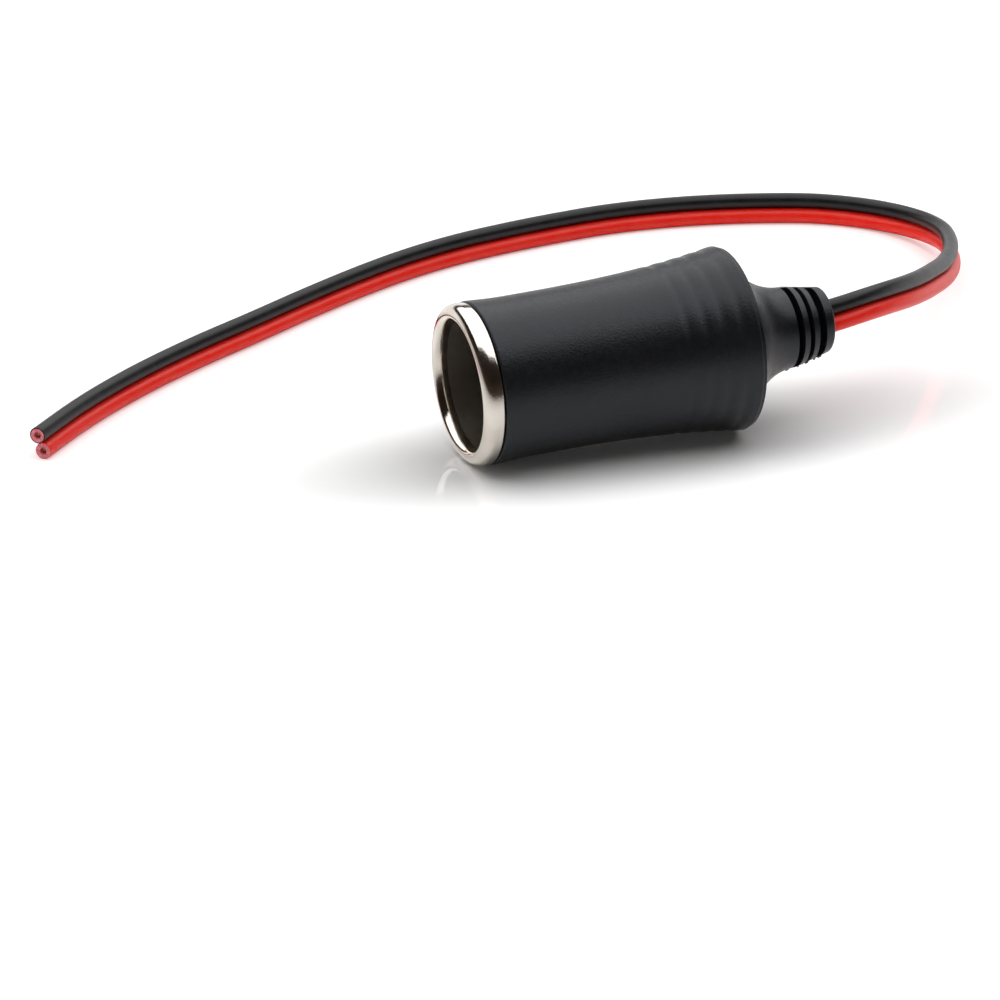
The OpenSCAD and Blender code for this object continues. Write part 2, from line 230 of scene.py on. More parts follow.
# Extruded vinyl, jet black, with a long smooth sheen and a slight draw along the wire
black_insulation, tree = new_material("black_vinyl_insulation")
place = put(tree, "ShaderNodeTexCoord").outputs["Object"]
ripple = noise(tree, place, 420, 3)
grain = noise(tree, place, 5200, 2)
colour = ramp(tree, ripple, [(0.3, "#0d0e10"), (0.7, "#191b1e")])
rough = spread(tree, ripple, 0.3, 0.44)
bump = relief(tree, ripple, 0.35, 0.00012)
bump = relief(tree, grain, 0.3, 0.00002, bump)
surface(tree, {"Base Color": colour, "Roughness": rough, "IOR": 1.52,
               "Specular IOR Level": 0.34, "Normal": bump})

# The same vinyl coloured a bright signal red, a little uneven where it was drawn
red_insulation, tree = new_material("red_vinyl_insulation")
place = put(tree, "ShaderNodeTexCoord").outputs["Object"]
ripple = noise(tree, place, 380, 3)
grain = noise(tree, place, 5200, 2)
colour = ramp(tree, ripple, [(0.3, "#ff1e11"), (0.7, "#ff3422")])
rough = spread(tree, ripple, 0.3, 0.42)
bump = relief(tree, ripple, 0.35, 0.00012)
bump = relief(tree, grain, 0.3, 0.00002, bump)
surface(tree, {"Base Color": colour, "Roughness": rough, "IOR": 1.52,
               "Specular IOR Level": 0.38, "Subsurface Weight": 0.3, "Subsurface Scale": 0.0012,
               "Subsurface Radius": (1.0, 0.2, 0.1), "Normal": bump})

# The cut face of the vinyl: paler and dull, with the marks that the cutter's jaws left
cut_vinyl, tree = new_material("cut_vinyl_face")
place = put(tree, "ShaderNodeTexCoord").outputs["Object"]
marks = noise(tree, place, 2600, 4)
colour = ramp(tree, marks, [(0.35, "#d2555f"), (0.65, "#f0949b")])
bump = relief(tree, marks, 0.6, 0.00006)
surface(tree, {"Base Color": colour, "Roughness": 0.62, "IOR": 1.52, "Normal": bump})

# Bare drawn copper, bright where it was cut and a little browned along its length
drawn_copper, tree = new_material("drawn_copper")
place = put(tree, "ShaderNodeTexCoord").outputs["Object"]
tarnish = noise(tree, place, 1500, 4)
colour = ramp(tree, tarnish, [(0.3, "#8f4f2c"), (0.7, "#dc9466")])
rough = spread(tree, tarnish, 0.4, 0.2)
surface(tree, {"Base Color": colour, "Metallic": 1.0, "Roughness": rough})

lead_line = [Vector(LEAD_STARTS)] + through([LEAD_LEAVES] + LEAD_ROUTE, LINE_STEPS)


def ring_about(centre, along, up, radii):
    """Points about a centre and square to its heading, one at each radius."""
    across = along.cross(up)
    ring = []
    for k, r in enumerate(radii):
        turn = 2 * math.pi * (k + 0.5) / WIRE_SIDES
        ring.append(centre + r * (math.cos(turn) * up + math.sin(turn) * across))
    return ring


def make_wire(name, path, skin, upper, web):
    """One wire as a tube, with a web towards its neighbour and a square, hollow cut end."""
    to_pair = math.pi if upper else 0.0
    radii = []
    for k in range(WIRE_SIDES):
        turn = 2 * math.pi * (k + 0.5) / WIRE_SIDES - to_pair
        apart = math.atan2(math.sin(turn), math.cos(turn))
        radii.append(WIRE_R + web * math.exp(-(apart / WEB_SPREAD) ** 2))
    rings = [ring_about(centre, along, up, radii) for centre, along, up in path]
    centre, along, up = path[-1]
    for r, out in ((WIRE_R - CUT_EDGE, CUT_PROUD), (CUT_RIM_R, CUT_PROUD),
                   (COPPER_HOLE_R + 0.06, 0.0), (COPPER_HOLE_R, -0.2),
                   (COPPER_HOLE_R, -COPPER_HOLE_DEPTH)):
        rings.append(ring_about(centre + along * out, along, up, [r] * WIRE_SIDES))
    faces = []
    kinds = []
    skin_rings = len(path) + (1 if upper else 0)
    for i in range(len(rings) - 1):
        for k in range(WIRE_SIDES):
            a, b = i * WIRE_SIDES + k, i * WIRE_SIDES + (k + 1) % WIRE_SIDES
            faces.append((a, b, b + WIRE_SIDES, a + WIRE_SIDES))
            kinds.append(1 if i >= skin_rings else 0)
    last = (len(rings) - 1) * WIRE_SIDES
    faces.append(range(WIRE_SIDES - 1, -1, -1))
    faces.append(range(last, last + WIRE_SIDES))
    kinds += [0, 1]
    return piece_of(name, sum(rings, []), faces, [skin, cut_vinyl], 50, kinds)


def growing_tree(name, inputs):
    """A geometry tree with named inputs, the names' identifiers and the inputs' sockets."""
    tree = bpy.data.node_groups.new(name, "GeometryNodeTree")
    tree.interface.new_socket(name="Geometry", in_out="OUTPUT",
                              socket_type="NodeSocketGeometry")
    named = {}
    for label, kind, value in inputs:
        socket = tree.interface.new_socket(name=label, in_out="INPUT",
                                           socket_type="NodeSocket" + kind)
        named[label] = socket.identifier
        if value is not None:
            socket.default_value = value
    return tree, named, put(tree, "NodeGroupInput").outputs


def dress(tree, geometry, material):
    """Ends a geometry tree: its instances are made real and get their material."""
    real = put(tree, "GeometryNodeRealizeInstances", {"Geometry": geometry})
    dressed = put(tree, "GeometryNodeSetMaterial",
                  {"Geometry": real.outputs["Geometry"], "Material": material})
    put(tree, "NodeGroupOutput", {"Geometry": dressed.outputs["Geometry"]})


def strand_lay():
    """The tree that twists strands round a middle one; its sizes are in metres."""
    tree, named, given = growing_tree("strand_lay", (
        ("Strands around", "Int", 6), ("Strand radius", "Float", 0.00014),
        ("Strand length", "Float", 0.0034), ("Length of lay", "Float", 0.012),
        ("Copper", "Material", None)))
    lay_r = maths(tree, "MULTIPLY", given["Strand radius"], 2.0)
    end = put(tree, "ShaderNodeCombineXYZ", {"Z": given["Strand length"]}).outputs[0]
    line = put(tree, "GeometryNodeCurvePrimitiveLine", {"End": end}).outputs["Curve"]
    line = put(tree, "GeometryNodeResampleCurve",
               {"Curve": line, "Count": STRAND_ROWS}).outputs["Curve"]
    ring = put(tree, "GeometryNodeMeshCircle", {"Vertices": given["Strands around"],
                                                "Radius": lay_r}).outputs["Mesh"]
    around = put(tree, "GeometryNodeInstanceOnPoints", {"Points": ring, "Instance": line})
    around = put(tree, "GeometryNodeRealizeInstances",
                 {"Geometry": around.outputs["Instances"]}).outputs["Geometry"]
    here = put(tree, "GeometryNodeInputPosition").outputs["Position"]
    height = put(tree, "ShaderNodeSeparateXYZ", {"Vector": here}).outputs["Z"]
    turns = maths(tree, "DIVIDE", height, given["Length of lay"])
    angle = maths(tree, "MULTIPLY", turns, 2 * math.pi)
    twisted = put(tree, "ShaderNodeVectorRotate", {"Vector": here, "Angle": angle},
                  rotation_type="Z_AXIS").outputs["Vector"]
    around = put(tree, "GeometryNodeSetPosition",
                 {"Geometry": around, "Position": twisted}).outputs["Geometry"]
    middle = put(tree, "GeometryNodeTransform",
                 {"Geometry": line, "Scale": (1, 1, MIDDLE_LONGER)}).outputs["Geometry"]
    both = put(tree, "GeometryNodeJoinGeometry")
    tree.links.new(around, both.inputs[0])
    tree.links.new(middle, both.inputs[0])
    section = put(tree, "GeometryNodeCurvePrimitiveCircle",
                  {"Resolution": STRAND_SIDES, "Radius": given["Strand radius"]}).outputs["Curve"]
    tubes = put(tree, "GeometryNodeCurveToMesh",
                {"Curve": both.outputs[0], "Profile Curve": section, "Fill Caps": True})
    dress(tree, tubes.outputs["Mesh"], given["Copper"])
    return tree, named


def grown(name, tree, named, values, start=None):
    """Runs a geometry tree on a new object and keeps the result as a plain mesh piece."""
    seed = placed(name + "_seed", start or bpy.data.meshes.new(name + "_seed"))
    modifier = seed.modifiers.new("grow", "NODES")
    modifier.node_group = tree
    for label, value in values.items():
        modifier[named[label]] = value
    graph = bpy.context.evaluated_depsgraph_get()
    mesh = bpy.data.meshes.new_from_object(seed.evaluated_get(graph), depsgraph=graph)
    mesh.name = name
    seed.modifiers.clear()
    bpy.data.objects.remove(seed)
    return placed(name, mesh)


lay_tree, lay_named = strand_lay()
for colour_name, side, skin, web, longer, slot in (
        ("black", 1, black_insulation, 0.0, BLACK_LONGER, "black_insulation"),
        ("red", -1, red_insulation, WEB, 0.0, "red_insulation")):
    heading = (lead_line[-1] - lead_line[-2]).normalized()
    line = lead_line[:-1] + [lead_line[-1] + heading * longer]
    path = beside(line, side * WIRE_SIDE)
    wire = make_wire(colour_name + "_wire_vinyl", path, skin, side > 0, web)
    strands = grown(colour_name + "_wire_copper", lay_tree, lay_named, {"Copper": drawn_copper})
    centre, along, up = path[-1]
    across = along.cross(up)
    foot = (centre - along * COPPER_HOLE_DEPTH) / 1000
    strands.data.transform(Matrix((
        (up.x, -across.x, along.x, foot.x),
        (up.y, -across.y, along.y, foot.y),
        (up.z, -across.z, along.z, foot.z),
        (0, 0, 0, 1))))
    for piece in (wire, strands):
        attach(piece, "root")
    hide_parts(colour_name + "_wire")
    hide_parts(colour_name + "_strands")


# The socket's shell: one steel cup, deep drawn and nickel plated. Its mouth is rolled
# outwards to a lip whose skirt turns back in over the front of the boot; its floor has a
# hole for the contact, and a slightly narrower seat holds the disc.
TILT = math.radians(2.47565)
MID_X = 31.5582
AXIS_Z = 13.0328
BORE_R = 10.5
SHEET = 0.6
BARREL_R = 11.1
CREST_R = 11.4
LIP_AT = 1.5
LIP_REACH = 1.75
ROLL_BACK_AT = 1.7
ROLL_INSIDE_AT = 0.4
SKIRT_R = 13.1
SKIRT_FROM = 2.0
SKIRT_BORE_R = 12.5
SKIRT_END = 2.95
SKIRT_EDGE = 0.55
# Past this depth the barrel's plate is painted darker and browner, as painted shade
PAINTED_SHADE_FROM = 2.2
BORE_SLACK = 0.1
SEAT_R = 10.2
SEAT_OUTER_R = 10.8
SEAT_AT = 36.2
SEAT_STEP = 0.4
FLOOR_AT = 39.5
FLOOR_HOLE_R = 4.3


def laid(s, r, turn):
    """Where a point s behind the mouth, r off the axis and turned from the top comes to lie."""
    return (
        s * math.cos(TILT) - r * math.cos(turn) * math.sin(TILT) - MID_X,
        r * math.sin(turn),
        s * math.sin(TILT) + r * math.cos(turn) * math.cos(TILT) + AXIS_Z,
    )


def bow(s, r, reach_s, reach_r, start, end, steps):
    """Points on an ellipse about (s, r), from one angle to another in degrees."""
    return [(s + reach_s * math.cos(math.radians(start + (end - start) * i / steps)),
             r + reach_r * math.sin(math.radians(start + (end - start) * i / steps)))
            for i in range(steps + 1)]


def turned(name, outline, materials, sides, sharp):
    """A piece turned about the socket's axis from its closed outline of (s, r) points."""
    vertices = []
    rows = []
    for s, r in outline:
        if r < 1e-6:
            rows.append([len(vertices)] * sides)
            vertices.append(laid(s, 0, 0))
        else:
            rows.append([len(vertices) + k for k in range(sides)])
            vertices += [laid(s, r, 2 * math.pi * k / sides) for k in range(sides)]
    faces = []
    closed = outline[0][1] > 1e-6
    for i in range(len(rows) if closed else len(rows) - 1):
        here, there = rows[i], rows[(i + 1) % len(rows)]
        for k in range(sides):
            corner = [here[k], here[(k + 1) % sides], there[(k + 1) % sides], there[k]]
            unique = [v for j, v in enumerate(corner) if v not in corner[:j]]
            if len(unique) > 2:
                faces.append(unique)
    return piece_of(name, vertices, faces, materials, sharp)


def along_axis(tree):
    """Object coordinates turned so that X runs along the socket's own axis."""
    place = put(tree, "ShaderNodeTexCoord").outputs["Object"]
    return put(tree, "ShaderNodeMapping",
               {"Vector": place, "Location": (MID_X / 1000, 0, -AXIS_Z / 1000),
                "Rotation": (0, TILT, 0)}).outputs["Vector"]


# Bright nickel on drawn steel: warm grey and mirror-like, with fine pits and faint rings
# left by the drawing; the pits are drawn at 0.3 mm so that they show
nickel_plate, tree = new_material("nickel_plated_steel")
place = along_axis(tree)
pits = noise(tree, place, 3300, 3)
clouds = noise(tree, place, 160, 4)
rings = noise(tree, stretched(tree, place, (1800, 20, 20)), 1, 3)
colour = ramp(tree, clouds, [(0.3, "#ddd4c8"), (0.7, "#efe9e1")])
rough = spread(tree, clouds, 0.09, 0.17, 0.3, 0.7)
bump = relief(tree, rings, 0.25, 0.00001)
bump = relief(tree, pits, 0.6, 0.000015, bump)
surface(tree, {"Base Color": colour, "Metallic": 1.0, "Roughness": rough, "Normal": bump})

# Inside the barrel the same plate is painted darker and browner, which is painted shade in
# the barrel; it is also rougher, and it has long fine scratches from plugs
bore_nickel_painted_shade, tree = new_material("dull_nickel_painted_shade_inside_barrel")
place = along_axis(tree)
scratch = noise(tree, stretched(tree, place, (90, 1800, 1800)), 1, 4)
shade_tone = noise(tree, place, 140, 4)
colour = ramp(tree, shade_tone, [(0.3, "#8d8478"), (0.7, "#a19a8e")])
rough = spread(tree, scratch, 0.3, 0.36, 0.3, 0.7)
bump = relief(tree, scratch, 0.1, 0.000003)
surface(tree, {"Base Color": colour, "Metallic": 0.85, "Roughness": rough, "Normal": bump})

shell_outline = (
    bow(LIP_AT, CREST_R, LIP_REACH, CREST_R - BORE_R, 270, 180, 14)
    + bow(LIP_AT, CREST_R, LIP_REACH, SKIRT_R - CREST_R, 180, 90, 22)[1:]
    + [(SKIRT_FROM, SKIRT_R)]
    + bow(SKIRT_END - SKIRT_EDGE, SKIRT_R - SKIRT_EDGE, SKIRT_EDGE, SKIRT_EDGE, 90, 0, 8)
    + [(SKIRT_END - 0.02, SKIRT_BORE_R - 0.08), (SKIRT_END - 0.4, SKIRT_BORE_R - 0.06),
       (ROLL_BACK_AT + 0.05, SKIRT_BORE_R)]
    + bow(ROLL_BACK_AT, CREST_R, ROLL_BACK_AT - ROLL_INSIDE_AT, SKIRT_BORE_R - CREST_R,
          90, 180, 10)[1:]
    + bow(LIP_AT, CREST_R, LIP_AT - ROLL_INSIDE_AT, CREST_R - BARREL_R, 180, 270, 6)[1:]
    + [(s, BARREL_R) for s in (10.5, 20, 30, SEAT_AT)]
    + [(SEAT_AT + SEAT_STEP, SEAT_OUTER_R), (FLOOR_AT, SEAT_OUTER_R)]
    + bow(FLOOR_AT, SEAT_R, SHEET, SHEET, 90, 0, 6)[1:]
    + [(FLOOR_AT + SHEET, 7), (FLOOR_AT + SHEET, FLOOR_HOLE_R), (FLOOR_AT, FLOOR_HOLE_R),
       (FLOOR_AT, 7), (FLOOR_AT, SEAT_R), (SEAT_AT + SEAT_STEP, SEAT_R)]
    + [(s, BORE_R) for s in (SEAT_AT, 34, 31, 28, 25, 22, 19, 16, 13, 10, 7, 5, 3, 2)]
)
shell = turned("nickel_shell", shell_outline, [nickel_plate, bore_nickel_painted_shade], 256, 40)
# Faces inside the barrel, past the lip, take the darker, browner plate: painted shade
for face in shell.data.polygons:
    off = face.center * 1000 - Vector(laid(0, 0, 0))
    depth = off.x * math.cos(TILT) + off.z * math.sin(TILT)
    wide = math.hypot(off.y, off.z * math.cos(TILT) - off.x * math.sin(TILT))
    if PAINTED_SHADE_FROM < depth < FLOOR_AT + BORE_SLACK and wide < BORE_R + BORE_SLACK:
        face.material_index = 1
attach(shell, "root")
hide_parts("socket_shell")


# The insulating disc: punched from amber phenolic sheet and pressed on the shell's floor.
# Punching leaves its edge a little ragged, and the resin shows pale specks of filler.
DISC_AT = 38.0
DISC_R = 10.05
DISC_THICK = 1.5
DISC_EDGE = 0.2
SHANK_HOLE_R = 1.65
RAGGED_FROM = 9.5
RAGGED = 0.006
RAGGED_WAVES = ((0.35, 23, 1), (0.35, 41, 2), (0.3, 67, 0))

amber_sheet, tree = new_material("amber_phenolic_sheet")
place = along_axis(tree)
layers = noise(tree, place, 140, 5)
specks = put(tree, "ShaderNodeTexVoronoi", {"Vector": place, "Scale": 1500, "Randomness": 1.0})
grit = noise(tree, place, 4200, 2)
amber = ramp(tree, layers, [(0.25, "#8a6316"), (0.75, "#b98a2c")])
speck = spread(tree, specks.outputs["Distance"], 0.75, 0.0, 0.1, 0.2)
colour = put(tree, "ShaderNodeMix", {0: speck, 6: amber, 7: linear("#ecd9a4")},
             data_type="RGBA").outputs[2]
bump = relief(tree, grit, 0.35, 0.00003)
surface(tree, {"Base Color": colour, "Roughness": 0.5, "IOR": 1.6, "Normal": bump})

disc_outline = (
    [(DISC_AT, SHANK_HOLE_R), (DISC_AT, 4), (DISC_AT, 7), (DISC_AT, 9.2)]
    + bow(DISC_AT + DISC_EDGE, DISC_R - DISC_EDGE, DISC_EDGE, DISC_EDGE, 180, 90, 4)
    + [(DISC_AT + DISC_THICK - DISC_EDGE, DISC_R), (DISC_AT + DISC_THICK, DISC_R - DISC_EDGE),
       (DISC_AT + DISC_THICK, 5), (DISC_AT + DISC_THICK, SHANK_HOLE_R)]
)
disc = turned("amber_disc", disc_outline, [amber_sheet], 288, 50)
middle = Vector(laid(DISC_AT, 0, 0)) / 1000
for vertex in disc.data.vertices:
    off = vertex.co - middle
    turn = math.atan2(off.y, off.z)
    if math.hypot(off.y, off.z) > RAGGED_FROM / 1000:
        torn = sum(part * math.sin(waves * turn + late) for part, waves, late in RAGGED_WAVES)
        vertex.co -= Vector((0, off.y, off.z)) * (RAGGED + RAGGED * torn)
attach(disc, "root")
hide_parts("insulating_disc")


# The centre contact: a plated rivet. Its flat head meets the plug's tip, its shank goes
# through the disc and the floor, and its tail is upset over the lug behind.
HEAD_R = 2.8
HEAD_AT = 36.8
HEAD_EDGE = 0.35
HEAD_DISH = ((0.12, 0), (0.1, 0.9), (0.06, 1.8), (0, 2.25))
SHANK_R = 1.6
RIVET_AT = 41.6
RIVET_R = 2.6
RIVET_EDGE = 0.6

# Dull nickel, speckled and dented by the tips of plugs
contact_nickel, tree = new_material("dull_nickel_contact")
place = along_axis(tree)
scuffs = noise(tree, place, 1500, 6)
dents = put(tree, "ShaderNodeTexVoronoi", {"Vector": place, "Scale": 2100})
colour = ramp(tree, scuffs, [(0.3, "#a0978f"), (0.7, "#d8cfc6")])
rough = spread(tree, scuffs, 0.25, 0.5)
bump = relief(tree, dents.outputs["Distance"], 0.5, 0.00004)
surface(tree, {"Base Color": colour, "Metallic": 1.0, "Roughness": rough, "Normal": bump})

contact_outline = (
    [(HEAD_AT + deep, r) for deep, r in HEAD_DISH]
    + bow(HEAD_AT + HEAD_EDGE, HEAD_R - HEAD_EDGE, HEAD_EDGE, HEAD_EDGE, 180, 90, 6)
    + [(DISC_AT - 0.02, HEAD_R), (DISC_AT - 0.02, SHANK_R), (RIVET_AT, SHANK_R),
       (RIVET_AT, RIVET_R)]
    + bow(RIVET_AT, RIVET_R - RIVET_EDGE, 0.68, RIVET_EDGE, 90, 0, 6)[1:]
    + [(RIVET_AT + 0.7, 1.0), (RIVET_AT + 0.55, 0)]
)
contact = turned("contact_rivet", contact_outline, [contact_nickel], 96, 40)
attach(contact, "root")
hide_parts("centre_contact")


# The boot: soft black vinyl moulded over the shell and the core, from under the lip to a waist
# and a flared, grooved grip, then in to the tail. There slots leave rings on two webs, so that
# the lead bends gently, and the mould's parting line left a little flash underneath.
FRONT_AT = 3.0
FRONT_R = 13.25
FRONT_EDGE = 0.3
WAIST_AT = 10.0
WAIST_R = 12.95
FLARE_POWER = 2.7
RIM_AT = 46.15
RIM_R = 15.1
RIM_EDGE = 0.3
SWEEP_R = 10.6
SWEEP_AT = 57.3
TAIL_AT = 63.5
TAIL_R = 6.65
TAIL_END_R = 5.5
TAIL_EDGE = 0.7
TAIL_RISE = 0.3
RISE_FROM = 54.0
LEAD_HOLE_R = 3.2
BOOT_BORE_R = 11.2
HOLLOW = ((52.0, 0), (50.0, 6.1), (46.0, 10.4), (40.2, 10.4), (40.2, BOOT_BORE_R),
          (20, BOOT_BORE_R))
BOOT_SIDES = 240
WIDE_ROWS = 0.9
CLOSE_ROWS = 110
TAIL_ROWS = 0.06
GROOVES = 4
GROOVE_PITCH = 2.95
GROOVE_DEPTH = 0.12
GROOVE_POWER = 1.4
LAST_GROOVE = 43.9
SLOT_FLOOR_R = 3.6
SLOT_SPACING = 1.9
SLOT_W = 0.75
SLOT_EDGE = 0.05
END_SLOT_W = 1.2
END_RING = 1.85
NEXT_RING = 1.15
END_SLOT_AT = TAIL_AT - END_RING - END_SLOT_W / 2
SLOT_AT = TAIL_AT - END_RING - END_SLOT_W - NEXT_RING - SLOT_W / 2
TOP_WEB = 2.2
BOTTOM_WEB = 2.0
WEB_TURN = 16.0
WEB_EDGE = 0.06
FLASH = 0.3
FLASH_TURN = math.radians(-160)
FLASH_HALF_TURN = math.radians(2.4)
FLASH_FROM = 55.5
FLASH_NIBS = 1.3
FLASH_GAPS = (0.5, 0.56)


def blank_radius(s):
    """The radius of the unpressed boot up to its rim, and along its tail."""
    if s < WAIST_AT:
        turn = math.radians(90 * (s - FRONT_AT) / (WAIST_AT - FRONT_AT))
        return FRONT_R + (WAIST_R - FRONT_R) * math.sin(turn)
    if s < RIM_AT:
        part = (s - WAIST_AT) / (RIM_AT - WAIST_AT)
        return WAIST_R + (RIM_R - WAIST_R) * part ** FLARE_POWER
    part = (s - SWEEP_AT) / (TAIL_AT - TAIL_EDGE - SWEEP_AT)
    return TAIL_R + (TAIL_END_R - TAIL_R) * part


def boot_rows():
    """The outline of the unslotted boot, with close rows where it is grooved and slotted."""
    first = LAST_GROOVE - (GROOVES - 0.5) * GROOVE_PITCH
    steep = math.degrees(math.acos(1 - (RIM_R - RIM_EDGE - 0.02 - TAIL_R) / SWEEP_R))
    rows = [(FRONT_AT, BOOT_BORE_R)]
    rows += bow(FRONT_AT + FRONT_EDGE, FRONT_R - FRONT_EDGE, FRONT_EDGE, FRONT_EDGE, 180, 110, 4)
    place = FRONT_AT + FRONT_EDGE + 0.05
    while place < first - 0.3:
        rows.append((place, blank_radius(place)))
        place += WIDE_ROWS
    for i in range(CLOSE_ROWS):
        place = first + (RIM_AT - first) * i / CLOSE_ROWS
        rows.append((place, blank_radius(place)))
    rows += bow(RIM_AT, RIM_R - RIM_EDGE, RIM_EDGE, RIM_EDGE, 82, 0, 10)
    rows += bow(SWEEP_AT, TAIL_R + SWEEP_R, SWEEP_R, SWEEP_R, 270 - steep, 270, 30)
    place = SWEEP_AT + TAIL_ROWS
    while place < TAIL_AT - TAIL_EDGE - 0.05:
        rows.append((place, blank_radius(place)))
        place += TAIL_ROWS
    rows += bow(TAIL_AT - TAIL_EDGE, TAIL_END_R - TAIL_EDGE, TAIL_EDGE, TAIL_EDGE, 84, 0, 8)
    return rows + [(TAIL_AT, LEAD_HOLE_R), (TAIL_AT, 0)]


def boot_press():
    """The tree that presses the grip grooves and the tail's slots into the boot's blank."""
    line = (-math.cos(FLASH_TURN) * math.sin(TILT), math.sin(FLASH_TURN),
            math.cos(FLASH_TURN) * math.cos(TILT))
    tree, named, given = growing_tree("boot_press", [("Geometry", "Geometry", None)] + [
        (label, "Float", value) for label, value in (
            ("Grooves", GROOVES), ("Last groove", LAST_GROOVE), ("Groove pitch", GROOVE_PITCH),
            ("Groove depth", GROOVE_DEPTH), ("Slot floor radius", SLOT_FLOOR_R),
            ("End slot", END_SLOT_AT), ("End slot width", END_SLOT_W), ("Next slot", SLOT_AT),
            ("Slot spacing", SLOT_SPACING), ("Slot width", SLOT_W), ("Web above", TOP_WEB),
            ("Web below", BOTTOM_WEB), ("Web turn", WEB_TURN), ("Flash height", FLASH))
    ] + [("Parting line", "Vector", line), ("Vinyl", "Material", None)])

    def carried(name, kind="FLOAT"):
        return put(tree, "GeometryNodeInputNamedAttribute", {"Name": name},
                   data_type=kind).outputs[0]

    def calc(operation, *values):
        return maths(tree, operation, *values)

    def soft(value, start, end, low=0.0, high=1.0):
        return spread(tree, value, low, high, start, end, interpolation_type="SMOOTHSTEP")

    def slot_mask(middle, width):
        half = calc("MULTIPLY", width, 0.5)
        off = calc("ABSOLUTE", calc("SUBTRACT", along, middle))
        return soft(calc("SUBTRACT", off, half), -SLOT_EDGE, SLOT_EDGE, 1.0, 0.0)

    along = carried("along")
    off_axis = carried("off_axis")
    outward = carried("outward", "FLOAT_VECTOR")
    turned_web = put(tree, "ShaderNodeVectorRotate",
                     {"Vector": outward, "Angle": calc("RADIANS", given["Web turn"])},
                     rotation_type="X_AXIS").outputs["Vector"]
    split = put(tree, "ShaderNodeSeparateXYZ", {"Vector": turned_web})
    sideways = calc("ABSOLUTE", calc("MULTIPLY", split.outputs["Y"], off_axis))
    behind = calc("SUBTRACT", along, given["Last groove"])
    wave = calc("DIVIDE", calc("MULTIPLY", behind, 2 * math.pi), given["Groove pitch"])
    ridge = calc("POWER", calc("MULTIPLY_ADD", calc("COSINE", wave), 0.5, 0.5), GROOVE_POWER)
    reach = calc("MULTIPLY", calc("SUBTRACT", given["Grooves"], 0.5), given["Groove pitch"])
    grip = calc("MULTIPLY", calc("GREATER_THAN", behind, calc("MULTIPLY", reach, -1.0)),
                calc("LESS_THAN", behind, calc("MULTIPLY", given["Groove pitch"], 0.5)))
    groove = calc("MULTIPLY", calc("MULTIPLY", ridge, given["Groove depth"]), grip)
    third = calc("SUBTRACT", given["Next slot"], given["Slot spacing"])
    slots = calc("MAXIMUM", slot_mask(given["Next slot"], given["Slot width"]),
                 slot_mask(third, given["Slot width"]))
    slots = calc("MAXIMUM", slot_mask(given["End slot"], given["End slot width"]), slots)
    upper = calc("GREATER_THAN", split.outputs["Z"], 0.0)
    web = put(tree, "ShaderNodeMix", {0: upper, 2: given["Web below"], 3: given["Web above"]},
              data_type="FLOAT").outputs[0]
    half_web = calc("MULTIPLY", web, 0.5)
    open_side = soft(calc("SUBTRACT", sideways, half_web), -WEB_EDGE, WEB_EDGE)
    thick = calc("MAXIMUM", calc("SUBTRACT", off_axis, given["Slot floor radius"]), 0.0)
    depth = calc("MULTIPLY", thick, calc("MULTIPLY", slots, open_side))
    near_line = put(tree, "ShaderNodeVectorMath", {0: outward, 1: given["Parting line"]},
                    operation="DOT_PRODUCT").outputs["Value"]
    ragged = put(tree, "ShaderNodeTexNoise", {"W": along, "Scale": FLASH_NIBS, "Detail": 2.0},
                 noise_dimensions="1D").outputs[0]
    nibs = calc("MULTIPLY", soft(ragged, *FLASH_GAPS), soft(along, FLASH_FROM, FLASH_FROM + 0.5))
    flash = calc("MULTIPLY", soft(near_line, math.cos(FLASH_HALF_TURN), 1.0), nibs)
    flash = calc("MULTIPLY", calc("MULTIPLY", flash, given["Flash height"]),
                 soft(along, TAIL_AT - TAIL_EDGE - 0.2, TAIL_AT - TAIL_EDGE, 1.0, 0.0))
    inward = calc("MULTIPLY", calc("SUBTRACT", calc("ADD", depth, groove), flash), -0.001)
    move = put(tree, "ShaderNodeVectorMath", {0: outward, "Scale": inward},
               operation="SCALE").outputs[0]
    pressed = put(tree, "GeometryNodeSetPosition", {"Geometry": given["Geometry"],
                                                    "Offset": move}).outputs["Geometry"]
    dress(tree, pressed, given["Vinyl"])
    return tree, named


# Soft vinyl with the fine satin grain of an etched mould, almost black: it takes a broad
# dull sheen with tiny sparkles; the grain is drawn at 0.3 mm so that it shows
boot_vinyl, tree = new_material("satin_moulded_vinyl")
place = along_axis(tree)
etched = noise(tree, place, 3300, 2)
mottle = noise(tree, place, 120, 4)
flow = noise(tree, place, 900, 3)
colour = ramp(tree, mottle, [(0.3, "#0d0e10"), (0.7, "#15161a")])
rough = spread(tree, flow, 0.32, 0.4, 0.3, 0.7)
bump = relief(tree, flow, 0.25, 0.00004)
bump = relief(tree, etched, 0.8, 0.00006, bump)
surface(tree, {"Base Color": colour, "Roughness": rough, "IOR": 1.54,
               "Specular IOR Level": 0.42, "Specular Tint": (0.88, 0.93, 1.0, 1.0),
               "Normal": bump})

